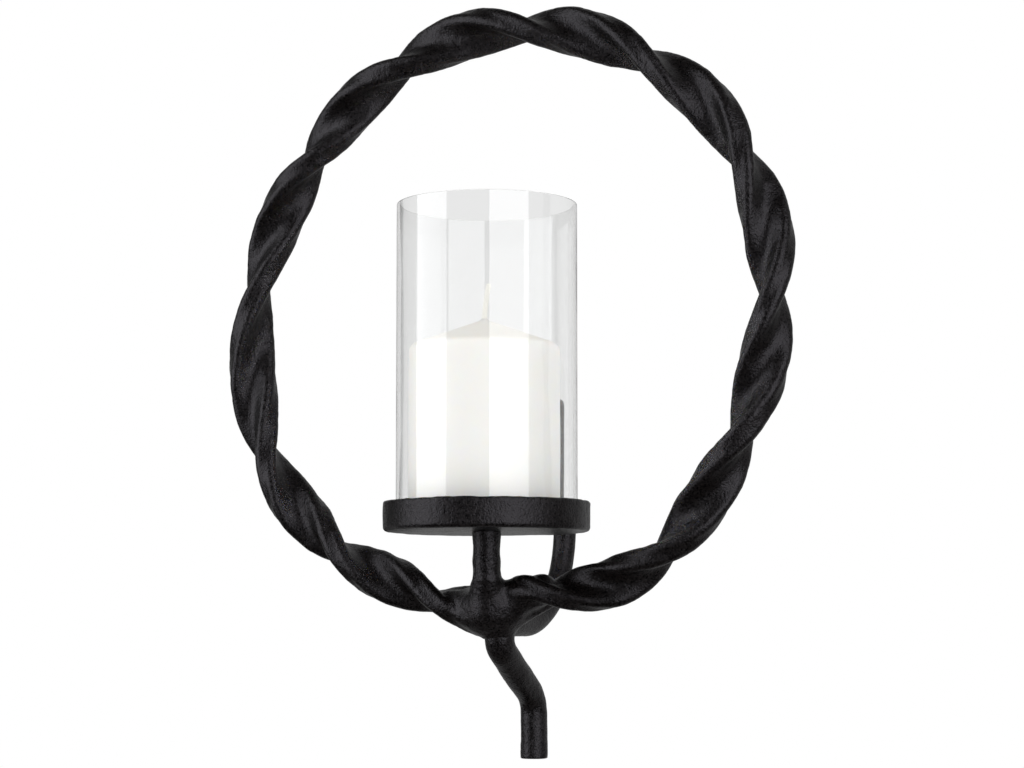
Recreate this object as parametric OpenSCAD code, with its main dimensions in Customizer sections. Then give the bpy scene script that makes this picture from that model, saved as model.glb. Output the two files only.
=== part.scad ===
// Wall sconce candle holder: a twisted ring, a round tray with a glass chimney and a
// pillar candle, carried on one bent arm that screws to the wall.
// Millimetres, +Z up. The wall is the plane Y = 0 and the front faces -Y.
// X = 0 is the middle plane. Z = 0 is midway between the two wall screws.

/* [Ring] */
// Mean radius of the ring, to the middle of the bar
ring_r = 147; // [145:0.1:149]
// Height of the ring's centre above the middle of the wall screws
ring_z = 65.3; // [64:0.1:66]
// Distance of the ring's plane from the wall
ring_y = 85.5; // [84:0.1:87]
// Width of the flat bar across its long side
bar_w = 24; // [20:0.5:26]
// Thickness of the flat bar at its rounded edges
bar_t = 12.6; // [11:0.1:14]
// Depth of the hollow along each wide face
bar_hollow = 1.5; // [0:0.1:2]
// Half-turns of twist round the whole ring
half_turns = 13; // [9:1:15]
// Distance from the middle of the hub to each end of the bar
ring_end = 8.5; // [8:0.1:9.5]

/* [Tray] */
// Outside diameter of the tray
tray_d = 103.5; // [100:0.5:108]
// Height of the tray from underside to lip
tray_h = 15; // [12:0.5:20]
// Thickness of the tray's lip
tray_wall = 3.75; // [2.5:0.25:4.5]
// Thickness of the tray's floor
tray_floor = 4; // [3.5:0.25:5]
// Height of the tray's underside above the middle of the wall screws
tray_z = -44; // [-46:0.5:-43]
// Distance of the tray's axis from the wall
tray_y = 100; // [99:0.5:102]

/* [Glass] */
// Outside diameter of the glass
glass_d = 90.5; // [88:0.5:92]
// Height of the glass
glass_h = 160; // [140:1:180]
// Thickness of the glass wall
glass_t = 1.5; // [1.4:0.1:2.6]

/* [Candle] */
// Diameter of the candle
candle_d = 76.2; // [60:0.1:80]
// How far the candle stands to the right of the tray's axis
candle_x = -1.4; // [-3:0.1:3]
// Height of the candle's side up to the shoulder
candle_h = 89.5; // [70:0.5:110]
// Rise of the sloping top from the shoulder to the wick
candle_rise = 15; // [4:0.5:20]
// Diameter of the wick
wick_d = 2.8; // [1.6:0.1:3]
// Length of wick standing out of the candle
wick_out = 17; // [10:0.5:20]
// Lean of the wick from upright, in degrees
wick_lean = 8.7; // [0:0.1:12]

/* [Arm] */
// Diameter of the arm's round rod
arm_d = 11.8; // [11.4:0.1:12]
// Height of the arm's level part
arm_z = -90; // [-90:0.1:-89]
// Radius of the arm's bend
arm_bend = 52; // [44:0.5:54]
// Distance of the upright part's axis from the wall
arm_back = 5; // [4.5:0.1:5.5]
// Height of the top of the upright part
arm_top = 31; // [28:0.5:60]
// Distance between the two wall screw holes
screw_gap = 38; // [34:0.5:40]
// Diameter of each wall screw hole
screw_hole_d = 4.5; // [3.5:0.1:4.8]

/* [Tail] */
// Diameter of the tail's rod
tail_d = 14; // [12:0.1:14.2]
// Distance of the tail's neck from the wall
neck_y = 85; // [84:0.5:86]
// Height of the underside of the neck
neck_z = -96; // [-97:0.5:-95.5]
// Slope of the tail's middle part below level, in degrees
tail_slope = 33; // [25:1:45]
// Length of the tail's middle part
tail_run = 35; // [30:0.5:40]
// Height of the tail's cut end
tail_end = -158.5; // [-165:0.5:-150]

/* [Hidden] */
$fn = 96;
eps = 0.01;
iron = [0.06, 0.06, 0.065];
steel = [0.55, 0.56, 0.58];
ring_steps = 200;
corner = 4;
end_angle = asin(ring_end / ring_r);
spigot_r = 4.5;
spigot_l = 7;
spigot_gap = 0.1;
boss_y = 73;
screw_r = 2.5;
screw_head_r = 4.6;
screw_head_h = 2.3;
screw_l = 16;
tray_r = tray_d / 2;
floor_z = tray_z + tray_floor;
glass_r = glass_d / 2;
candle_r = candle_d / 2;
wick_r = wick_d / 2;
shoulder = 5;
arm_r = arm_d / 2;
tail_r = tail_d / 2;
tail_bend_1 = 10;
tail_bend_2 = 16;
lap = 0.3;
proud = 0.05;

// A hump of height 1 round angle middle, so many degrees wide.
function near(a, middle, width) = exp(-pow((a - middle) / width, 2));

// The hand-bent outline: the mean radius plus small waves, drawn in beside the hub.
function outline(a) =
    ring_r + 1.5 * cos(a + 44.3) + 2.5 * cos(2 * (a - 62.2)) + 1.5 * cos(3 * (a + 53.3))
    + 2 * cos(4 * (a - 22.5)) + 0.5 * cos(5 * (a - 5)) + 0.4 * cos(6 * (a + 17.9))
    - 10 * near(a, -82, 15.7) + 6 * near(a, -90, 6);

// Turn of the bar's long side, from outward towards the front.
function twist(a) =
    121.2 - half_turns * 0.5 * a + 48 * cos(a + 167.3) + 14.1 * cos(2 * (a - 43.9))
    + 6 * cos(3 * (a + 26.7)) + 3.7 * cos(4 * (a - 22.2)) + 4.4 * cos(5 * (a + 14.8));

// One quarter of the bar's section, from the middle of a wide face to the narrow edge.
function quarter(sx, sy) = [
    [sx * (bar_w / 2 - corner) * 0.5, sy * (bar_t / 2 - bar_hollow * 0.6)],
    for (t = [90, 45, 0])
        [sx * (bar_w / 2 - corner + corner * cos(t)), sy * (bar_t / 2 - corner + corner * sin(t))]
];

function backwards(list) = [for (i = [len(list) - 1:-1:0]) list[i]];

function section() = concat(
    [[0, bar_t / 2 - bar_hollow]], quarter(1, 1), backwards(quarter(1, -1)),
    [[0, bar_hollow - bar_t / 2]], quarter(-1, -1), backwards(quarter(-1, 1)));

// A point of the section, carried to angle a of the ring.
function on_ring(a, p) = let (
        f = twist(a),
        out = outline(a) + p[0] * cos(f) - p[1] * sin(f),
        front = p[0] * sin(f) + p[1] * cos(f))
    [out * cos(a), -ring_y - front, ring_z + out * sin(a)];

// The flat bar, twisted and bent round, with both ends inside the hub.
module twisted_ring() {
    s = section();
    n = len(s);
    from = end_angle - 90;
    turn = 360 - 2 * end_angle;
    points = [for (i = [0:ring_steps], p = s) on_ring(from + turn * i / ring_steps, p)];
    sides = [
        for (i = [0:ring_steps - 1], j = [0:n - 1], k = [0, 1])
            let (j2 = (j + 1) % n)
            k == 0
                ? [i * n + j, (i + 1) * n + j, (i + 1) * n + j2]
                : [i * n + j, (i + 1) * n + j2, i * n + j2]
    ];
    first = [for (j = [0:n - 1]) j];
    last = [for (j = [n - 1:-1:0]) ring_steps * n + j];
    color(iron) polyhedron(points, concat([first], sides, [last]));
}

// The column under the tray, run together with the knuckle that holds ring, tail and arm.
module stem_hub() {
    color(iron) difference() {
        union() {
            translate([0, -tray_y, 0]) stem();
            knuckle();
            neck();
            arm_boss();
        }
        // bore for the tray screw
        translate([0, -tray_y, tray_z - screw_l])
            cylinder(r = screw_r, h = screw_l + 1);
        // bore for the tail's spigot
        translate([0, -neck_y, neck_z - 1])
            cylinder(r = spigot_r + spigot_gap, h = spigot_l + 1);
        // bore for the arm's spigot
        translate([0, -boss_y + 1, arm_z]) rotate([90, 0, 0])
            cylinder(r = spigot_r + spigot_gap, h = spigot_l + 1);
    }
}

module stem() {
    rotate_extrude() polygon([
        [0, tray_z], [7, tray_z], [6.8, tray_z - 2], [6.5, tray_z - 5],
        [6.3, tray_z - 9], [6.2, tray_z - 14], [6.4, tray_z - 20], [6.9, tray_z - 25],
        [0, tray_z - 25]
    ]);
}

module knuckle() {
    hull() {
        translate([0, -tray_y, tray_z - 24]) sphere(r = 7, $fn = 40);
        translate([0, -92, -81]) sphere(r = 10.5, $fn = 40);
    }
    hull() {
        translate([-7, -85, -82.5]) sphere(r = 12, $fn = 40);
        translate([8, -86, -77.5]) sphere(r = 11, $fn = 40);
        translate([0, -92, -81]) sphere(r = 10.5, $fn = 40);
    }
}

module neck() {
    translate([0, -neck_y, neck_z]) rotate_extrude()
        polygon([[0, 0], [7.2, 0], [7.7, 0.6], [7.7, 3], [8.4, 5.5], [10, 8], [0, 8]]);
}

module arm_boss() {
    translate([0, -boss_y, arm_z]) rotate([90, 0, 0])
        cylinder(r = arm_r, h = 12);
}

// Part of a bent rod, lying in the Y-Z plane round point c.
// It starts at angle from, measured from +Y towards +Z, and runs on by turn.
module bend(c, r_bend, r_rod, from, turn) {
    translate([0, c[0], c[1]]) rotate([90, 0, 90]) rotate([0, 0, from])
        rotate_extrude(angle = turn) translate([r_bend, 0]) circle(r = r_rod);
}

// The rod that leaves the neck, slopes back and ends in a drop.
// The straight lengths stand a hair proud of the bends and lap over their ends.
module tail() {
    y1 = -neck_y + tail_bend_1 - tail_bend_1 * sin(tail_slope);
    z1 = neck_z - tail_bend_1 * cos(tail_slope);
    y2 = y1 + tail_run * cos(tail_slope);
    z2 = z1 - tail_run * sin(tail_slope);
    y3 = y2 - tail_bend_2 * sin(tail_slope);
    z3 = z2 - tail_bend_2 * cos(tail_slope);
    color(iron) {
        translate([0, -neck_y, neck_z - eps]) cylinder(r = spigot_r, h = spigot_l + eps);
        bend([-neck_y + tail_bend_1, neck_z], tail_bend_1, tail_r, 180, 90 - tail_slope);
        translate([0, y1, z1]) rotate([-90 - tail_slope, 0, 0])
            translate([0, 0, -lap]) cylinder(r = tail_r + proud, h = tail_run + 2 * lap);
        bend([y3, z3], tail_bend_2, tail_r, 0, 90 - tail_slope);
        translate([0, y3 + tail_bend_2, tail_end + 1])
            cylinder(r = tail_r + proud, h = z3 - tail_end - 1 + lap);
        translate([0, y3 + tail_bend_2, tail_end])
            cylinder(r1 = tail_r + proud - 1, r2 = tail_r + proud, h = 1);
    }
}

// The rod from the hub to the wall, with its upright part flattened at the back.
// Here too the straight lengths stand a hair proud of the bend and lap over its ends.
module wall_arm() {
    y_bend = -arm_back - arm_bend;
    z_bend = arm_z + arm_bend;
    color(iron) difference() {
        union() {
            translate([0, -boss_y + eps, arm_z]) rotate([90, 0, 0])
                cylinder(r = spigot_r, h = spigot_l + eps);
            translate([0, -boss_y, arm_z]) rotate([-90, 0, 0])
                cylinder(r = arm_r + proud, h = boss_y + y_bend + lap);
            bend([y_bend, z_bend], arm_bend, arm_r, -90, 90);
            translate([0, -arm_back, z_bend - lap])
                cylinder(r = arm_r + proud, h = arm_top - 2 - z_bend + lap);
            translate([0, -arm_back, arm_top - 2])
                cylinder(r1 = arm_r + proud, r2 = arm_r + proud - 2, h = 2);
        }
        // flat back against the wall
        translate([-20, 0, -150]) cube([40, 20, 250]);
        for (z = [-screw_gap / 2, screw_gap / 2]) wall_screw_hole(z);
    }
}

// A countersunk hole, through the upright part from front to back.
module wall_screw_hole(z) {
    sink = 4.4;
    deep = arm_back + sqrt(arm_r * arm_r - sink * sink);
    translate([0, 1, z]) rotate([90, 0, 0]) cylinder(d = screw_hole_d, h = 20);
    translate([0, -deep + sink - screw_hole_d / 2, z]) rotate([90, 0, 0])
        cylinder(r1 = screw_hole_d / 2, r2 = sink, h = sink - screw_hole_d / 2);
    translate([0, -deep, z]) rotate([90, 0, 0]) cylinder(r = sink, h = 10);
}

// The round tray, with a countersunk hole for the screw into the stem.
module tray() {
    color(iron) translate([0, -tray_y, tray_z]) difference() {
        rotate_extrude() polygon([
            [0, 0], [tray_r - 2, 0], [tray_r - 0.6, 0.6], [tray_r, 2],
            [tray_r, tray_h - 1.2], [tray_r - 0.4, tray_h - 0.3], [tray_r - 1.2, tray_h],
            [tray_r - tray_wall + 1, tray_h], [tray_r - tray_wall, tray_h - 1],
            [tray_r - tray_wall, tray_floor + 1], [tray_r - tray_wall - 1, tray_floor],
            [0, tray_floor]
        ]);
        translate([0, 0, -1]) cylinder(r = screw_r + 0.2, h = tray_floor + 2);
        translate([0, 0, tray_floor - screw_head_h - 0.2])
            cylinder(r1 = screw_r, r2 = screw_head_r, h = screw_head_h);
        translate([0, 0, tray_floor - 0.2]) cylinder(r = screw_head_r, h = 1);
    }
}

// The countersunk screw that holds the tray down on the stem.
module tray_screw() {
    top = floor_z - 0.2;
    color(steel) translate([0, -tray_y, top]) difference() {
        union() {
            translate([0, 0, -screw_head_h])
                cylinder(r1 = screw_r, r2 = screw_head_r, h = screw_head_h);
            translate([0, 0, -screw_l]) cylinder(r = screw_r - 0.1, h = screw_l);
        }
        translate([-3, -0.5, -1.4]) cube([6, 1, 2]);
        translate([-0.5, -3, -1.4]) cube([1, 6, 2]);
    }
}

// The open glass chimney, with rounded rims, standing on the tray's floor.
module glass_cylinder() {
    r2 = glass_r;
    r1 = glass_r - glass_t;
    e = 0.7;
    color([0.8, 0.9, 0.92, 0.35]) translate([0, -tray_y, floor_z]) rotate_extrude()
        polygon([
            for (t = [0:15:90]) [r2 - e + e * cos(t), glass_h - e + e * sin(t)],
            for (t = [90:15:180]) [r1 + e + e * cos(t), glass_h - e + e * sin(t)],
            for (t = [180:15:270]) [r1 + e + e * cos(t), e + e * sin(t)],
            for (t = [270:15:360]) [r2 - e + e * cos(t), e + e * sin(t)]
        ]);
}

// The pillar candle, with a rounded shoulder, a sloping top and a hole for the wick.
module candle() {
    slope = atan(candle_rise / candle_r);
    peak_z = candle_h + candle_rise;
    color([0.95, 0.94, 0.9]) translate([candle_x, -tray_y, floor_z]) difference() {
        rotate_extrude() polygon([
            [0, 0], [candle_r - 1, 0], [candle_r, 1],
            for (t = [0:10:90 - slope])
                [candle_r - shoulder + shoulder * cos(t), candle_h - 1 + shoulder * (sin(t) - 0.5)],
            [2, peak_z - 2 * tan(slope) - 0.3], [0, peak_z - 0.5]
        ]);
        translate([0, 0, -1]) cylinder(r = wick_r, h = peak_z + 2);
    }
}

// The wick, straight through the candle and leaning a little above it.
module wick() {
    z0 = floor_z + candle_h + candle_rise;
    color([0.85, 0.82, 0.75]) {
        translate([candle_x, -tray_y, floor_z])
            cylinder(r = wick_r, h = z0 + 0.2 - floor_z);
        translate([candle_x, -tray_y, z0 - 0.1]) rotate([0, wick_lean, 0])
            cylinder(r = wick_r * 0.9, h = wick_out + 0.1);
    }
}

twisted_ring();
stem_hub();
tail();
wall_arm();
tray();
tray_screw();
glass_cylinder();
candle();
wick();
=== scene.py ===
"""Wall sconce candle holder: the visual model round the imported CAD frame.

The iron is built in two ways. The ring is a swept bar and the tray a turned dish. The hub, tail
and arm are distance fields turned into meshes, so that they run into each other as a casting does.
Lengths are in millimetres until a mesh is made, which is in metres.
"""
import math

import bpy
import numpy as np
import openvdb
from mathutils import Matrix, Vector


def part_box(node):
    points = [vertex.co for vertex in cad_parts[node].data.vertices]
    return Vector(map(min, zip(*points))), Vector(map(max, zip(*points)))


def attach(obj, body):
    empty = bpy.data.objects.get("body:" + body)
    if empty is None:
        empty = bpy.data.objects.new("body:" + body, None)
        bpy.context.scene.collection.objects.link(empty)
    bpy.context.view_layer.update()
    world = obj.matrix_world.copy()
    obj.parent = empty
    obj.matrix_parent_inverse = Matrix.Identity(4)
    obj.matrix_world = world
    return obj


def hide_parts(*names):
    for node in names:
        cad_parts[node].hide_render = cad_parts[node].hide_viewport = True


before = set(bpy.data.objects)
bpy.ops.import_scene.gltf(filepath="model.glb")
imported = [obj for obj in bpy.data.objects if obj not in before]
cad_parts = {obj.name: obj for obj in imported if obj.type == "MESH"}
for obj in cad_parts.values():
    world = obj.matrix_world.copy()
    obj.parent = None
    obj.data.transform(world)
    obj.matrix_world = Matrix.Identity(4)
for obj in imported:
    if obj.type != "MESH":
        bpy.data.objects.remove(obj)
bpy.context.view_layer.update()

MM = 0.001
IRON_BODY, GLASS_BODY, CANDLE_BODY = "iron_frame", "glass", "candle"


def cad(node):
    """Lowest and highest corners of a CAD node, in millimetres."""
    lo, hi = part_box(node)
    return np.array(lo) / MM, np.array(hi) / MM


# ---------------------------------------------------------------- driving dimensions

tray_lo, tray_hi = cad("tray")
glass_lo, glass_hi = cad("glass_cylinder")
candle_lo, candle_hi = cad("candle")
wick_bottom = cad("wick")[0][2]
tail_lo, tail_hi = cad("tail")
arm_top = cad("wall_arm")[1][2]

# The upright axis of tray, glass and candle.
AXIS_Y = (tray_lo[1] + tray_hi[1]) / 2

# The ring: its plane, centre and mean radius, the bar's section, and the hub's half-width.
RING_Y, RING_Z, RING_R = -85.5, 65.3, 147.0
BAR_HALF_W, BAR_HALF_T, BAR_CORNER, BAR_HOLLOW = 11.9, 6.3, 4.0, 2.7
HALF_TURNS = 13
RING_END = math.degrees(math.asin(8.5 / RING_R))

# Tray and glass: lip, floor and wall thicknesses, the rims' rounding, and the tray screw.
TRAY_R = (tray_hi[0] - tray_lo[0]) / 2
TRAY_LIP, TRAY_FLOOR = 3.75, 4.0
TRAY_HOLE_R, TRAY_SINK_R = 2.7, 4.6
GLASS_R = (glass_hi[0] - glass_lo[0]) / 2
GLASS_T, GLASS_RIM = 1.5, 0.3

# Candle and wick. Above the wax the wick leans, by an angle in degrees.
CANDLE_R = (candle_hi[0] - candle_lo[0]) / 2
CANDLE_X = (candle_hi[0] + candle_lo[0]) / 2
CANDLE_SHOULDER, CANDLE_RISE = 5.0, 15.0
WICK_R, WICK_OUT, WICK_LEAN, PLAIT_PITCH = 1.4, 17.0, 8.7, 2.6

# The arm's rod, and its slightly flattened top: width, thickness and length.
ARM_R, ARM_Z, ARM_BEND, ARM_BACK = 5.9, -90.0, 52.0, 5.0
FLAT_W, FLAT_T, FLAT_L = 12.4, 10.0, 44.0
SCREW_GAP, SCREW_R, SINK_R = 38.0, 2.25, 4.4

# The tail's rod: neck, slope below level in degrees, sloping length, and the two bends' radii.
TAIL_R, NECK_Y, NECK_Z = 7.0, -85.0, -96.0
TAIL_SLOPE, TAIL_RUN, TAIL_BENDS = 33.0, 35.0, (10.0, 16.0)

# How far the hub's casting runs along the ring, each side of the middle.
HUB_REACH = 33.0


# ---------------------------------------------------------------- surface relief

class Relief:
    """Smooth seeded noise in space, from -1 to 1, on a lattice of random values."""
    SIDE = 48

    def __init__(self, seed):
        self.table = np.random.default_rng(seed).uniform(-1, 1, (self.SIDE,) * 3)

    def __call__(self, points, cell):
        q = points / cell
        base = np.floor(q).astype(int)
        f = q - base
        f = f * f * f * (f * (f * 6 - 15) + 10)
        total = 0
        for corner in np.ndindex(2, 2, 2):
            i, j, k = ((base + corner) % self.SIDE).T
            weight = np.prod(np.where(corner, f, 1 - f), axis=1)
            total = total + self.table[i, j, k] * weight
        return total


swell, lumps, sand, pits = (Relief(s) for s in (3, 7, 11, 19))


def casting(points, depth=1.0):
    """How far a rough casting stands out of its ideal shape, in millimetres."""
    flat = points.reshape(-1, 3)
    out = 0.34 * swell(flat, 17) + 0.20 * lumps(flat, 7.3) + 0.10 * lumps(flat + 91, 3.4)
    out = out + 0.05 * sand(flat, 1.5)
    hole = pits(flat, 5.1) * 0.6 + pits(flat + 37, 2.3) * 0.4
    out = out - 0.5 * np.clip(hole - 0.42, 0, 0.4)
    return (out * depth).reshape(points.shape[:-1])


# ---------------------------------------------------------------- mesh helpers

def make_object(name, points, faces, body, nodes, material):
    """A smooth-shaded piece from points in millimetres, riding on a body."""
    mesh = bpy.data.meshes.new(name)
    mesh.from_pydata((np.asarray(points) * MM).tolist(), [], [list(map(int, f)) for f in faces])
    mesh.validate()
    mesh.update()
    mesh.shade_smooth()
    mesh.materials.append(material)
    piece = bpy.data.objects.new(name, mesh)
    bpy.context.scene.collection.objects.link(piece)
    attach(piece, body)
    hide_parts(*nodes)
    return piece


def grid_faces(rows, columns, closed_rows):
    """Quads over a grid of points stored row by row; each row closes on itself."""
    faces = []
    for i in range(rows if closed_rows else rows - 1):
        a, b = i * columns, ((i + 1) % rows) * columns
        for j in range(columns):
            k = (j + 1) % columns
            faces.append((a + j, b + j, b + k, a + k))
    return faces


def grid_normals(grid, closed_rows):
    """Outward unit normals of a grid whose columns run round a section."""
    if closed_rows:
        along = np.roll(grid, -1, 0) - np.roll(grid, 1, 0)
    else:
        along = np.gradient(grid, axis=0)
    across = np.roll(grid, -1, 1) - np.roll(grid, 1, 1)
    normal = np.cross(along, across)
    return normal / np.maximum(np.linalg.norm(normal, axis=2, keepdims=True), 1e-9)


def resample(outline, count):
    """Points spaced evenly round a closed polyline."""
    pts = np.vstack([outline, outline[:1]])
    run = np.r_[0, np.cumsum(np.linalg.norm(np.diff(pts, axis=0), axis=1))]
    at = np.linspace(0, run[-1], count, endpoint=False)
    return np.stack([np.interp(at, run, pts[:, k]) for k in range(pts.shape[1])], axis=1)


def arc(cx, cy, r, start, stop, steps):
    """Points along an arc, between two angles in degrees."""
    t = np.radians(np.linspace(start, stop, steps))
    return np.stack([cx + r * np.cos(t), cy + r * np.sin(t)], axis=1)


def lathe(profile, segments, centre_y):
    """Turns a closed (radius, height) outline round an upright axis."""
    t = np.linspace(0, 2 * np.pi, segments, endpoint=False)
    r, z = profile[:, 0], profile[:, 1]
    return np.stack([np.outer(np.sin(t), r), centre_y - np.outer(np.cos(t), r),
                     np.tile(z, (segments, 1))], axis=2)


# ---------------------------------------------------------------- the twisted ring

def cosd(a):
    return np.cos(np.radians(a))


def sind(a):
    return np.sin(np.radians(a))


def near(a, middle, width):
    """A hump of height 1 round one angle."""
    return np.exp(-((a - middle) / width) ** 2)


def ring_outline(a):
    """Radius of the hand-bent ring at angle a, in degrees from +X."""
    return (RING_R + 1.5 * cosd(a + 44.3) + 2.5 * cosd(2 * (a - 62.2))
            + 1.5 * cosd(3 * (a + 53.3)) + 2 * cosd(4 * (a - 22.5)) + 0.5 * cosd(5 * (a - 5))
            + 0.4 * cosd(6 * (a + 17.9)) - 10 * near(a, -82, 15.7) + 6 * near(a, -90, 6))


def ring_twist(a):
    """Turn of the bar's long side at angle a, from outward towards the front."""
    return (121.2 - HALF_TURNS * 0.5 * a + 48 * cosd(a + 167.3) + 14.1 * cosd(2 * (a - 43.9))
            + 6 * cosd(3 * (a + 26.7)) + 3.7 * cosd(4 * (a - 22.2)) + 4.4 * cosd(5 * (a + 14.8)))


def hollow(p):
    """Depth of the hollow down each wide face, at p across it."""
    width = BAR_HALF_W - BAR_CORNER + 1.5
    return BAR_HOLLOW * np.where(np.abs(p) < width, cosd(90 * p / width) ** 2, 0)


def bar_section(count):
    """The bar's outline: rounded edges, and a hollow down each wide face."""
    flat, rise = BAR_HALF_W - BAR_CORNER, BAR_HALF_T - BAR_CORNER
    x = np.linspace(flat, -flat, 25)
    top = np.stack([x, np.full_like(x, BAR_HALF_T)], axis=1)
    half = np.vstack([arc(flat, rise, BAR_CORNER, 0, 90, 12)[:-1], top,
                      arc(-flat, rise, BAR_CORNER, 90, 180, 12)[1:]])
    loop = resample(np.vstack([half, -half]), count)
    loop[:, 1] -= np.sign(loop[:, 1]) * hollow(loop[:, 0])
    return loop


def make_ring(material, steps=1240, count=72):
    """The flat bar, twisted and bent round, with both ends in the hub."""
    a = np.linspace(RING_END - 90, 270 - RING_END, steps)[:, None]
    p, q = bar_section(count).T
    f = ring_twist(a)
    out = ring_outline(a) + p * cosd(f) - q * sind(f)
    front = p * sind(f) + q * cosd(f)
    grid = np.stack([out * cosd(a), RING_Y - front, RING_Z + out * sind(a)], axis=2)
    normal = grid_normals(grid, closed_rows=False)
    middle = grid.mean(axis=1, keepdims=True)
    if ((grid - middle) * normal).sum() < 0:
        normal = -normal
    grid = grid + normal * casting(grid)[..., None]
    faces = grid_faces(steps, count, closed_rows=False)
    first = list(range(count))
    last = [(steps - 1) * count + j for j in reversed(range(count))]
    return make_object("ring_bar", grid.reshape(-1, 3), faces + [first, last],
                       IRON_BODY, ["twisted_ring"], material)


# ---------------------------------------------------------------- distance fields

def field_grid(lo, hi, voxel):
    """Sample points of a box, in millimetres."""
    axes = [np.arange(a, b + voxel, voxel) for a, b in zip(lo, hi)]
    return np.stack(np.meshgrid(*axes, indexing="ij"), axis=-1)


def join(a, b, soft):
    """Union of two distance fields with a fillet of about the given radius."""
    h = np.clip(0.5 + 0.5 * (b - a) / soft, 0, 1)
    return b + (a - b) * h - soft * h * (1 - h)


def ball(p, centre, radii):
    """A ball stretched to three radii."""
    k = np.linalg.norm((p - np.array(centre)) / np.array(radii), axis=-1)
    return (k - 1) * min(radii)


def capsule(p, a, b, ra, rb):
    """A rod with round ends whose radius goes from ra to rb."""
    a, b = np.array(a, float), np.array(b, float)
    t = np.clip(((p - a) @ (b - a)) / ((b - a) @ (b - a)), 0, 1)
    return np.linalg.norm(p - a - t[..., None] * (b - a), axis=-1) - (ra + (rb - ra) * t)


def ring_field(p):
    """Distance to the twisted bar."""
    a = np.degrees(np.arctan2(p[..., 2] - RING_Z, p[..., 0]))
    a = np.where(a < -90, a + 360, a)
    out = np.hypot(p[..., 2] - RING_Z, p[..., 0]) - ring_outline(a)
    front = RING_Y - p[..., 1]
    f = ring_twist(a)
    u, v = out * cosd(f) + front * sind(f), -out * sind(f) + front * cosd(f)
    du = np.abs(u) - (BAR_HALF_W - BAR_CORNER)
    dv = np.abs(v) + hollow(u) - (BAR_HALF_T - BAR_CORNER)
    outside = np.hypot(np.maximum(du, 0), np.maximum(dv, 0))
    return outside + np.minimum(np.maximum(du, dv), 0) - BAR_CORNER


def bend_path(p, pieces):
    """Distance in the Y-Z plane to a path of straights and arcs.

    A straight is ("line", y0, z0, y1, z1). An arc is ("arc", cy, cz, r, middle, half), with the
    angle of its middle and half of its turn in degrees.
    """
    y, z = p[..., 1], p[..., 2]
    best = np.full(y.shape, np.inf)
    for kind, *n in pieces:
        if kind == "line":
            d = np.array([n[2] - n[0], n[3] - n[1]])
            t = np.clip(((y - n[0]) * d[0] + (z - n[1]) * d[1]) / (d @ d), 0, 1)
            dist = np.hypot(y - n[0] - t * d[0], z - n[1] - t * d[1])
        else:
            cy, cz, r, middle, half = n
            turn = np.degrees(np.arctan2(z - cz, y - cy)) - middle
            turn = (turn + 180) % 360 - 180
            dist = np.where(np.abs(turn) <= half, np.abs(np.hypot(y - cy, z - cz) - r), np.inf)
        best = np.minimum(best, dist)
    return best


def mesh_field(name, lo, voxel, field, nodes, material, depth=1.0):
    """Turns a distance field into a piece and gives it the casting's relief."""
    volume = openvdb.FloatGrid(float(voxel * 3))
    volume.copyFromArray(np.clip(field, -3 * voxel, 3 * voxel).astype(np.float32))
    points, quads = volume.convertToQuads(0.0)
    points = points * voxel + np.array(lo)
    piece = make_object(name, points, quads, IRON_BODY, nodes, material)
    mesh = piece.data
    normal = np.empty(len(mesh.vertices) * 3)
    mesh.vertex_normals.foreach_get("vector", normal)
    points = points + normal.reshape(-1, 3) * casting(points, depth)[:, None]
    return piece, points


def set_points(piece, points):
    """Moves a piece's vertices to points in millimetres."""
    piece.data.vertices.foreach_set("co", (points * MM).ravel())
    piece.data.update()


def arm_pieces():
    """The arm's middle line: level from the hub, a bend, and upright along the wall."""
    bend_y, bend_z = -ARM_BACK - ARM_BEND, ARM_Z + ARM_BEND
    return [("line", RING_Y, ARM_Z, bend_y, ARM_Z),
            ("arc", bend_y, bend_z, ARM_BEND, -45, 45.5),
            ("line", -ARM_BACK, bend_z, -ARM_BACK, arm_top + 10)]


def tail_pieces():
    """The tail's middle line: out of the neck, sloping back, and down to the cut end."""
    r1, r2 = TAIL_BENDS
    s, c = math.sin(math.radians(TAIL_SLOPE)), math.cos(math.radians(TAIL_SLOPE))
    y1, z1 = NECK_Y + r1 - r1 * s, NECK_Z - r1 * c
    y2, z2 = y1 + TAIL_RUN * c, z1 - TAIL_RUN * s
    y3, z3 = y2 - r2 * s, z2 - r2 * c
    half = (90 - TAIL_SLOPE) / 2
    return [("line", NECK_Y, NECK_Z + 8, NECK_Y, NECK_Z),
            ("arc", NECK_Y + r1, NECK_Z, r1, 180 + half, half + 0.5),
            ("line", y1, z1, y2, z2),
            ("arc", y3, z3, r2, half, half + 0.5),
            ("line", y3 + r2, z3, y3 + r2, tail_lo[2] - 10)]


def stem_field(p):
    """The column under the tray, narrow in the middle, bending back to the knuckle."""
    top = tray_lo[2]
    down = np.clip(top - p[..., 2], -1, 30)
    radius = 6.15 + 0.75 * np.exp(-(down / 4.5) ** 2)
    side = np.hypot(p[..., 0], p[..., 1] - AXIS_Y) - radius
    side = np.maximum(side, np.maximum(p[..., 2] - top - 0.6, top - 24 - p[..., 2]))
    side = join(side, capsule(p, (0, AXIS_Y, -60), (0, -98.5, -69), 6.2, 6.7), 3)
    return join(side, capsule(p, (0, -98.5, -69), (0, -90, -82), 6.7, 9.6), 3)


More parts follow.
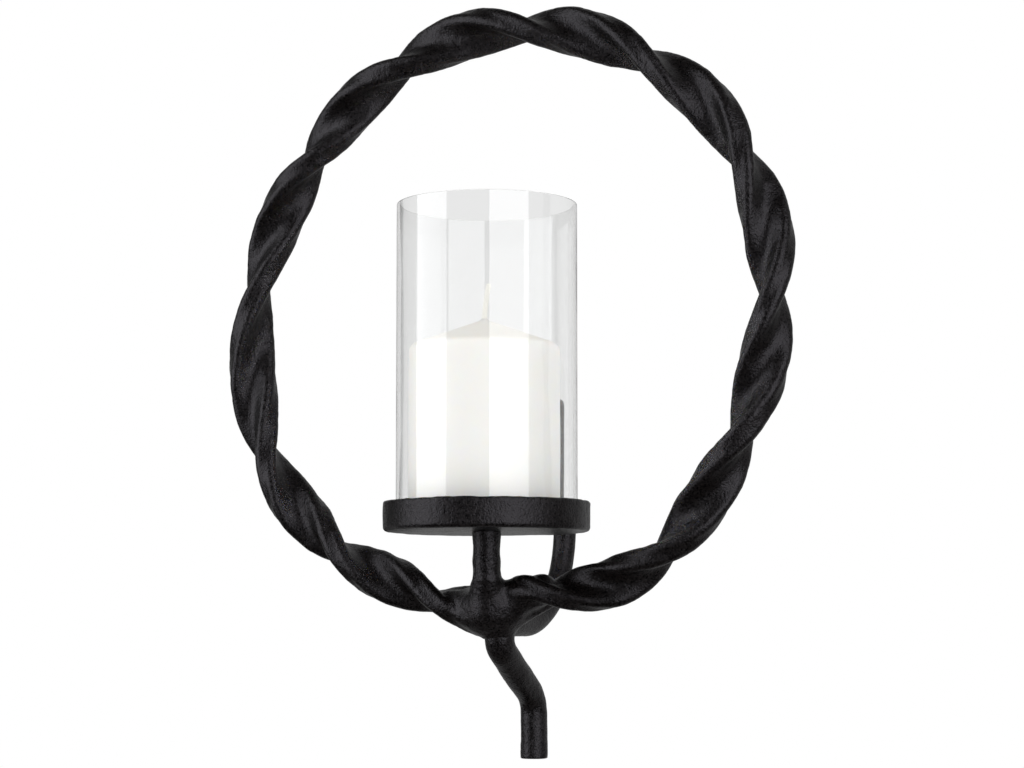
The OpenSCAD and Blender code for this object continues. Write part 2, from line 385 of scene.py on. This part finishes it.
def make_hub(material, voxel=0.55):
    """Stem, knuckle, neck and the roots of ring, arm and tail, all run together."""
    lo = (-HUB_REACH - 2, AXIS_Y - 16, NECK_Z - 6)
    hi = (HUB_REACH + 2, -60.0, tray_lo[2] + 3)
    p = field_grid(lo, hi, voxel)
    sink = np.clip((np.abs(p[..., 0]) - 18) / 12, 0, 1) ** 2 * 1.4
    bar = ring_field(p) + sink
    left = capsule(p, (-6, -88, -81.5), (-26, -88, -78.4), 9.5, 6.2)
    right = capsule(p, (6, -87, -78.6), (25, -86, -72.5), 9.4, 7.6)
    body = join(ball(p, (0, -86, -83.5), (14, 11.5, 11.8)), left, 4)
    body = join(join(body, right, 4), bar, 3)
    fillet = 10.0 - 6.0 * np.tanh(p[..., 0] / 7)
    body = join(body, stem_field(p), fillet)
    neck = capsule(p, (0, NECK_Y, -88), (0, NECK_Y, NECK_Z + 1), 8.2, 7.8)
    neck = np.maximum(neck, NECK_Z - 0.4 - p[..., 2])
    body = join(body, neck, 3)
    body = join(body, capsule(p, (0, -84, ARM_Z), (0, -69, ARM_Z), 6.6, 6.0), 3)
    body = np.maximum(body, np.abs(p[..., 0]) - HUB_REACH)
    body = np.maximum(body, p[..., 1] + 63)
    piece, points = mesh_field("hub_casting", lo, voxel, body, ["stem_hub"], material, 1.4)
    points[:, 2] = np.minimum(points[:, 2], tray_lo[2] + 0.5)
    set_points(piece, points)
    return piece


def make_tail(material, voxel=0.5):
    """The bent rod under the hub, a little thicker at its neck."""
    lo = (-TAIL_R - 2, tail_lo[1] - 2, tail_lo[2] - 2)
    hi = (TAIL_R + 2, tail_hi[1] + 2, NECK_Z + 8)
    p = field_grid(lo, hi, voxel)
    thick = TAIL_R - 0.1 + 0.8 * np.exp((p[..., 2] - NECK_Z) / 12)
    rod = np.hypot(bend_path(p, tail_pieces()), p[..., 0]) - np.minimum(thick, 7.8)
    rod = np.maximum(rod, tail_lo[2] + 0.15 - p[..., 2])
    rod = np.maximum(rod, p[..., 2] - NECK_Z - 6)
    piece, points = mesh_field("tail_rod", lo, voxel, rod, ["tail"], material, 0.8)
    points[:, 2] = np.maximum(points[:, 2], tail_lo[2])
    set_points(piece, points)
    return piece


def make_arm(material, voxel=0.5):
    """The rod to the wall, its top slightly flattened and drilled for two wall screws."""
    lo = (-FLAT_W / 2 - 2, -74.0, ARM_Z - ARM_R - 2)
    hi = (FLAT_W / 2 + 2, 2.5, arm_top + 2)
    p = field_grid(lo, hi, voxel)
    rod = np.hypot(bend_path(p, arm_pieces()), p[..., 0]) - ARM_R
    flat = np.clip((p[..., 2] - arm_top + FLAT_L) / (FLAT_L - 8), 0, 1)
    flat = flat * flat * (3 - 2 * flat)
    wide = ARM_R + (FLAT_W / 2 - ARM_R) * flat
    thin = ARM_R + ((FLAT_T + 0.6) / 2 - ARM_R) * flat
    middle = -ARM_BACK + (ARM_BACK - FLAT_T / 2 + 0.3) * flat
    pad = np.hypot(p[..., 0] / wide, (p[..., 1] - middle) / thin) - 1
    pad = pad * np.where(flat > 0, thin, ARM_R)
    crown = np.hypot(p[..., 0], np.maximum(p[..., 2] - arm_top + FLAT_W / 2, 0)) - FLAT_W / 2
    rod = np.where(p[..., 2] > arm_top - FLAT_L, np.maximum(pad, crown), rod)
    rod = np.maximum(rod, -72 - p[..., 1])
    rod = np.maximum(rod, p[..., 1] + 0.1)
    rod = np.maximum(rod, p[..., 2] - arm_top + 0.3)
    depth = ARM_BACK + math.sqrt(ARM_R ** 2 - SINK_R ** 2)
    for z in (-SCREW_GAP / 2, SCREW_GAP / 2):
        off = np.hypot(p[..., 0], p[..., 2] - z)
        sink = np.clip(-p[..., 1] - depth + SINK_R, SCREW_R, SINK_R)
        rod = np.maximum(rod, sink - off)
    piece, points = mesh_field("arm_rod", lo, voxel, rod, ["wall_arm"], material, 0.45)
    points[:, 1] = np.minimum(points[:, 1], 0)
    set_points(piece, points)
    return piece


# ---------------------------------------------------------------- turned pieces

def face_out(grid, normal, profile):
    """Turns the normals of a lathed grid so that the widest ring's point outwards."""
    widest = np.argmax(profile[:, 0])
    out = grid[:, widest] - np.array([0, AXIS_Y, 0])
    return -normal if (out * normal[:, widest]).sum() < 0 else normal


def make_tray(material, segments=640):
    """The shallow dish, with a soft worn lip, and a sunk hole for its screw."""
    r, top, bottom = TRAY_R, tray_hi[2], tray_lo[2]
    floor, inner = bottom + TRAY_FLOOR, TRAY_R - TRAY_LIP
    outline = np.vstack([
        [[TRAY_HOLE_R, bottom], [8, bottom]],
        arc(r - 2.2, bottom + 2.0, 2.0, -90, 0, 8),
        arc(r - 1.4, top - 1.3, 1.2, 0, 90, 8),
        arc(inner + 1.0, top - 1.1, 1.0, 90, 180, 6),
        arc(inner - 1.2, floor + 1.2, 1.2, 0, -90, 6),
        [[TRAY_SINK_R, floor], [TRAY_SINK_R, floor - 0.2], [TRAY_HOLE_R, floor - 2.4]]])
    profile = resample(outline, 150)
    grid = lathe(profile, segments, AXIS_Y)
    normal = grid_normals(grid, closed_rows=True)
    normal = face_out(grid, normal, profile)
    rough = casting(grid, 0.55)
    radius = np.hypot(grid[..., 0], grid[..., 1] - AXIS_Y)
    lip = np.clip((grid[..., 2] - top + 3) / 2, 0, 1) * (radius > inner + 0.5)
    rough = rough + lip * 0.35 * lumps(grid.reshape(-1, 3) + 17, 6).reshape(rough.shape)
    outside = (radius > inner - 1.0) | (grid[..., 2] < floor - 2)
    rough = rough * np.where(outside, 1, 0.2)
    grid = grid + normal * np.minimum(rough, 0.25)[..., None]
    grid[..., 2] = np.clip(grid[..., 2], bottom - 0.1, top)
    faces = grid_faces(segments, len(profile), closed_rows=True)
    return make_object("tray_dish", grid.reshape(-1, 3), faces, IRON_BODY, ["tray"],
                       material)


def make_glass(material, segments=256):
    """The open glass chimney, its rims rounded by the flame."""
    r2, r1 = GLASS_R, GLASS_R - GLASS_T
    e = GLASS_RIM
    lo, hi = glass_lo[2], glass_hi[2]
    side = np.linspace(lo + e, hi - e, 40)[1:-1]
    outline = np.vstack([
        np.stack([np.full_like(side, r2), side], axis=1),
        arc(r2 - e, hi - e, e, 0, 90, 9), arc(r1 + e, hi - e, e, 90, 180, 9),
        np.stack([np.full_like(side, r1), side[::-1]], axis=1),
        arc(r1 + e, lo + e, e, 180, 270, 9), arc(r2 - e, lo + e, e, 270, 360, 9)])
    grid = lathe(outline, segments, AXIS_Y)
    return make_object("glass_tube", grid.reshape(-1, 3),
                       grid_faces(segments, len(outline), closed_rows=True),
                       GLASS_BODY, ["glass_cylinder"], material)


def make_candle(material, segments=256):
    """The pillar candle: rounded shoulder, sloping top, hole for the wick."""
    lo, hi, r = candle_lo[2], candle_hi[2], CANDLE_R
    slope = math.degrees(math.atan(CANDLE_RISE / r))
    turn = arc(r - CANDLE_SHOULDER, hi - CANDLE_RISE - 3.2, CANDLE_SHOULDER, 0, 90 - slope, 14)
    outline = np.vstack([
        [[WICK_R, lo]], arc(r - 1.2, lo + 1.2, 1.2, -90, 0, 6), turn,
        [[3.0, hi - 2.0], [1.9, hi - 1.2], [WICK_R, hi - 0.4]]])
    profile = resample(outline, 190)
    grid = lathe(profile, segments, AXIS_Y)
    normal = grid_normals(grid, closed_rows=True)
    normal = face_out(grid, normal, profile)
    grid = grid + np.array([CANDLE_X, 0, 0])
    flat = grid.reshape(-1, 3)
    soft = (0.16 * swell(flat, 23) + 0.07 * lumps(flat, 9)).reshape(grid.shape[:2])
    grid = grid + normal * (soft - 0.2)[..., None]
    grid[..., 2] = np.maximum(grid[..., 2], lo)
    return make_object("candle_wax", grid.reshape(-1, 3),
                       grid_faces(segments, len(profile), closed_rows=True),
                       CANDLE_BODY, ["candle"], material)


def make_wick(material, steps=420, count=36):
    """A plaited cotton wick: two strands of bumps wound opposite ways."""
    inside = candle_hi[2] - wick_bottom
    lean = math.radians(WICK_LEAN)
    length = inside + WICK_OUT
    s = np.linspace(0, 1, steps) * length
    above = np.clip(s - inside, 0, None)
    curve = above ** 2 / (2 * WICK_OUT)
    x = np.sin(lean) * above * 0.6 + curve * 0.12
    z = wick_bottom + np.minimum(s, inside) + above * math.cos(lean)
    a = np.linspace(0, 2 * np.pi, count, endpoint=False)[None, :]
    wind = (s / PLAIT_PITCH * 2 * np.pi)[:, None]
    bump = np.abs(np.sin(1.5 * a + wind / 2)) * 0.5 + np.abs(np.sin(1.5 * a - wind / 2)) * 0.5
    free = np.clip(above, 0, 1)[:, None]
    radius = WICK_R * (0.98 - free * (0.16 - 0.14 * bump))
    end = np.clip((length - s) / 0.8, 0.02, 1)[:, None] ** 0.5
    radius = radius * end
    grid = np.stack([CANDLE_X + x[:, None] + radius * np.cos(a),
                     AXIS_Y + radius * np.sin(a) + 0 * x[:, None],
                     z[:, None] + 0 * a], axis=2)
    faces = grid_faces(steps, count, closed_rows=False)
    faces = [tuple(reversed(f)) for f in faces]
    first = list(reversed(range(count)))
    last = [(steps - 1) * count + j for j in range(count)]
    return make_object("wick_braid", grid.reshape(-1, 3), faces + [first, last],
                       CANDLE_BODY, ["wick"], material)


# ---------------------------------------------------------------- materials

def new_material(name):
    material = bpy.data.materials.new(name)
    material.use_nodes = True
    tree = material.node_tree
    return material, tree, tree.nodes["Principled BSDF"]


def node(tree, kind, **values):
    """Adds a shader node. A value named i_Scale goes to the input Scale, others to the node."""
    made = tree.nodes.new(kind)
    for key, value in values.items():
        if key.startswith("i_"):
            made.inputs[key[2:].replace("_", " ")].default_value = value
        else:
            setattr(made, key, value)
    return made


def grey(value):
    return (value,) * 3


def object_coord(tree):
    return tree.nodes.new("ShaderNodeTexCoord").outputs["Object"]


def noise(tree, coord, scale, detail=3.0, rough=0.55):
    """Noise of so many grains to the metre."""
    made = node(tree, "ShaderNodeTexNoise", i_Scale=scale, i_Detail=detail, i_Roughness=rough)
    tree.links.new(coord, made.inputs["Vector"])
    return made.outputs["Fac"]


def ramp(tree, value, stops):
    """A colour ramp through (position, colour) stops."""
    made = tree.nodes.new("ShaderNodeValToRGB")
    elements = made.color_ramp.elements
    while len(elements) < len(stops):
        elements.new(0.5)
    for element, (at, colour) in zip(elements, stops):
        element.position = at
        element.color = (*colour, 1)
    tree.links.new(value, made.inputs["Fac"])
    return made.outputs["Color"]


def bump(tree, height, distance, strength, after=None):
    """A bump in metres, on top of another one if given."""
    made = node(tree, "ShaderNodeBump", i_Strength=strength, i_Distance=distance)
    tree.links.new(height, made.inputs["Height"])
    if after is not None:
        tree.links.new(after, made.inputs["Normal"])
    return made.outputs["Normal"]


def multiply(tree, first, second):
    """One colour times another."""
    mix = node(tree, "ShaderNodeMix", data_type="RGBA", blend_type="MULTIPLY")
    mix.inputs[0].default_value = 1.0
    tree.links.new(first, mix.inputs[6])
    tree.links.new(second, mix.inputs[7])
    return mix.outputs[2]


def iron_material():
    """Matte black coat over a sandy casting, worn a little in random patches."""
    material, tree, shader = new_material("black_cast_iron")
    coord = object_coord(tree)
    sandy = noise(tree, coord, 1100, 1.5, 0.6)
    clods = noise(tree, coord, 380, 3, 0.55)
    patches = noise(tree, coord, 45, 3, 0.5)
    shader.inputs["Specular IOR Level"].default_value = 0.29
    shader.inputs["Specular Tint"].default_value = (0.96, 0.92, 1.0, 1)
    grains = ramp(tree, sandy, [(0.36, (0.0010, 0.0007, 0.0006)), (0.68, (0.0100, 0.0080, 0.0074))])
    worn = ramp(tree, patches, [(0.3, (0.75, 0.68, 0.62)), (0.7, (1.15, 1.15, 1.2))])
    tree.links.new(multiply(tree, grains, worn), shader.inputs["Base Color"])
    tree.links.new(ramp(tree, sandy, [(0.35, grey(0.26)), (0.65, grey(0.40))]),
                   shader.inputs["Roughness"])
    first = bump(tree, clods, 0.0004, 0.75)
    tree.links.new(bump(tree, sandy, 0.00035, 0.9, first), shader.inputs["Normal"])
    return material


def glass_material():
    """Clear glass, which lets the lamps through to the candle."""
    material, tree, shader = new_material("clear_glass")
    shader.inputs["Base Color"].default_value = (0.93, 0.932, 0.93, 1)
    shader.inputs["Roughness"].default_value = 0.0
    shader.inputs["IOR"].default_value = 1.5
    shader.inputs["Transmission Weight"].default_value = 1.0
    coord = object_coord(tree)
    wave = noise(tree, coord, 22, 2, 0.5)
    tree.links.new(bump(tree, wave, 0.0004, 0.25), shader.inputs["Normal"])
    path = tree.nodes.new("ShaderNodeLightPath")
    clear = node(tree, "ShaderNodeBsdfTransparent")
    clear.inputs["Color"].default_value = (0.985, 0.985, 0.985, 1)
    either = node(tree, "ShaderNodeMath", operation="MAXIMUM")
    mix = tree.nodes.new("ShaderNodeMixShader")
    tree.links.new(path.outputs["Is Shadow Ray"], either.inputs[0])
    tree.links.new(path.outputs["Is Diffuse Ray"], either.inputs[1])
    tree.links.new(either.outputs[0], mix.inputs["Fac"])
    tree.links.new(shader.outputs[0], mix.inputs[1])
    tree.links.new(clear.outputs[0], mix.inputs[2])
    tree.links.new(mix.outputs[0], tree.nodes["Material Output"].inputs["Surface"])
    return material


def wax_material():
    """White wax, faintly mottled, which light enters; its upward faces get painted shade, a darker
    base colour.
    """
    material, tree, shader = new_material("white_wax")
    coord = object_coord(tree)
    mottle = noise(tree, coord, 60, 4, 0.5)
    grain = noise(tree, coord, 700, 3, 0.5)
    tone = ramp(tree, mottle, [(0.3, (0.955, 0.935, 0.885)), (0.7, (0.97, 0.957, 0.92))])
    facing = tree.nodes.new("ShaderNodeNewGeometry").outputs["Normal"]
    split = tree.nodes.new("ShaderNodeSeparateXYZ")
    tree.links.new(facing, split.inputs["Vector"])
    # Painted shade: the base colour darkens where the normal points up, standing in for less light
    # from above.
    top = ramp(tree, split.outputs["Z"], [(0.45, grey(1.0)), (0.9, (0.86, 0.855, 0.84))])
    tree.links.new(multiply(tree, tone, top), shader.inputs["Base Color"])
    shader.inputs["Subsurface Weight"].default_value = 0.6
    shader.inputs["Subsurface Radius"].default_value = (1.0, 0.85, 0.65)
    shader.inputs["Subsurface Scale"].default_value = 0.006
    shader.inputs["IOR"].default_value = 1.44
    tree.links.new(ramp(tree, mottle, [(0.3, grey(0.42)), (0.7, grey(0.56))]),
                   shader.inputs["Roughness"])
    tree.links.new(bump(tree, grain, 0.0002, 0.15), shader.inputs["Normal"])
    return material


def wick_material():
    """Waxed off-white cotton."""
    material, tree, shader = new_material("wick_cotton")
    coord = object_coord(tree)
    fibre = noise(tree, coord, 2600, 4, 0.6)
    tree.links.new(ramp(tree, fibre, [(0.3, (0.86, 0.84, 0.77)), (0.7, (0.97, 0.96, 0.92))]),
                   shader.inputs["Base Color"])
    shader.inputs["Roughness"].default_value = 0.6
    tree.links.new(bump(tree, fibre, 0.0002, 0.6), shader.inputs["Normal"])
    return material


def steel_material():
    """Plated screw steel with fine turning marks."""
    material, tree, shader = new_material("screw_steel")
    coord = object_coord(tree)
    marks = noise(tree, coord, 3000, 3, 0.6)
    tree.links.new(ramp(tree, marks, [(0.3, (0.42, 0.43, 0.45)), (0.7, (0.60, 0.61, 0.63))]),
                   shader.inputs["Base Color"])
    shader.inputs["Metallic"].default_value = 1.0
    tree.links.new(ramp(tree, marks, [(0.3, grey(0.25)), (0.7, grey(0.42))]),
                   shader.inputs["Roughness"])
    tree.links.new(bump(tree, marks, 0.0001, 0.2), shader.inputs["Normal"])
    return material


# ---------------------------------------------------------------- the object

iron = iron_material()
make_ring(iron)
make_hub(iron)
make_tail(iron)
make_arm(iron)
make_tray(iron)
make_glass(glass_material())
make_candle(wax_material())
make_wick(wick_material())

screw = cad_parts["tray_screw"]
steel = steel_material()
for holder in screw.material_slots:
    holder.material = steel


# ---------------------------------------------------------------- floor, lights, camera

def add_floor():
    """A pale floor, low enough to stay out of the front view."""
    mesh = bpy.data.meshes.new("floor")
    half, level = 6.0, -0.9
    mesh.from_pydata([(-half, -half, level), (half, -half, level), (half, half, level),
                      (-half, half, level)], [], [(0, 1, 2, 3)])
    material, tree, shader = new_material("pale_floor")
    shader.inputs["Base Color"].default_value = (0.86, 0.86, 0.85, 1)
    shader.inputs["Roughness"].default_value = 0.9
    shader.inputs["Specular IOR Level"].default_value = 0.1
    mesh.materials.append(material)
    floor = bpy.data.objects.new("floor", mesh)
    floor.visible_glossy = False
    bpy.context.scene.collection.objects.link(floor)


def add_softbox(name, azimuth, width, radiance, colour, height=0.5, tall=2.2, distance=1.6):
    """A tall soft light that faces the glass. Azimuth 0 is straight in front, 90 is to +X."""
    target = Vector((0, AXIS_Y * MM, 0.03))
    a = math.radians(azimuth)
    light = bpy.data.lights.new(name, "AREA")
    light.shape = "RECTANGLE"
    light.size, light.size_y = width, tall
    light.energy = radiance * math.pi * width * tall
    light.color = colour
    lamp = bpy.data.objects.new(name, light)
    lamp.location = target + Vector((math.sin(a) * distance, -math.cos(a) * distance, height))
    aim = target - lamp.location
    aim.z = 0
    lamp.rotation_euler = aim.to_track_quat("-Z", "Y").to_euler()
    lamp.visible_camera = False
    lamp.visible_diffuse = False
    bpy.context.scene.collection.objects.link(lamp)


def map_range(tree, value, start, stop, low, high, **values):
    """A value from start to stop, mapped to low to high."""
    made = node(tree, "ShaderNodeMapRange", **values)
    for name, number in (("From Min", start), ("From Max", stop), ("To Min", low), ("To Max", high)):
        made.inputs[name].default_value = number
    tree.links.new(value, made.inputs["Value"])
    return made.outputs["Result"]


def choose(tree, ray, otherwise, chosen):
    """One value for a kind of ray and another for the rest."""
    mix = tree.nodes.new("ShaderNodeMix")
    tree.links.new(ray, mix.inputs["Factor"])
    tree.links.new(otherwise, mix.inputs["A"])
    if isinstance(chosen, float):
        mix.inputs["B"].default_value = chosen
    else:
        tree.links.new(chosen, mix.inputs["B"])
    return mix.outputs["Result"]


def add_world():
    """White to look at. As a light it is bright to diffuse rays and dim to glossy ones.

    Both see the wall's side, +Y, brighter than the room. Diffuse rays also see more from below.
    """
    world = bpy.data.worlds.new("studio")
    world.use_nodes = True
    tree = world.node_tree
    coord = tree.nodes.new("ShaderNodeTexCoord").outputs["Generated"]
    split = tree.nodes.new("ShaderNodeSeparateXYZ")
    tree.links.new(coord, split.inputs[0])
    path = tree.nodes.new("ShaderNodeLightPath")
    glossy = map_range(tree, split.outputs["Y"], 0.1, 0.6, 0.02, 0.42,
                       interpolation_type="SMOOTHSTEP")
    height = map_range(tree, split.outputs["Z"], -1, 1, 1.45, 1.05)
    side = map_range(tree, split.outputs["Y"], -1, 1, 0.92, 1.42)
    diffuse = node(tree, "ShaderNodeMath", operation="MULTIPLY")
    tree.links.new(height, diffuse.inputs[0])
    tree.links.new(side, diffuse.inputs[1])
    strength = choose(tree, path.outputs["Is Diffuse Ray"], glossy, diffuse.outputs[0])
    strength = choose(tree, path.outputs["Is Transmission Ray"], strength, 0.9)
    strength = choose(tree, path.outputs["Is Camera Ray"], strength, 1.0)
    back = tree.nodes["Background"]
    back.inputs["Color"].default_value = (1, 1, 1, 1)
    tree.links.new(strength, back.inputs["Strength"])
    bpy.context.scene.world = world


def add_camera():
    """In front and to the right, about level with the tail, looking slightly up."""
    camera = bpy.data.cameras.new("camera")
    camera.sensor_width = 36
    camera.lens = 84.38
    camera.shift_y = 0.07
    camera.clip_end = 100
    eye = bpy.data.objects.new("camera", camera)
    azimuth, tilt = math.radians(25.342), math.radians(4.355)
    eye.location = (0.52192, -1.17262, -0.09693)
    eye.rotation_euler = (math.pi / 2 + tilt, 0, azimuth)
    bpy.context.scene.collection.objects.link(eye)
    bpy.context.scene.camera = eye


add_floor()
add_softbox("left_box", -49.8, 1.40, 2.45, (0.97, 0.98, 1.0))
add_softbox("right_box", 54.5, 1.52, 2.4, (0.98, 0.985, 1.0))
add_world()
add_camera()
view = bpy.context.scene.view_settings
view.view_transform = "Standard"
view.look = "None"
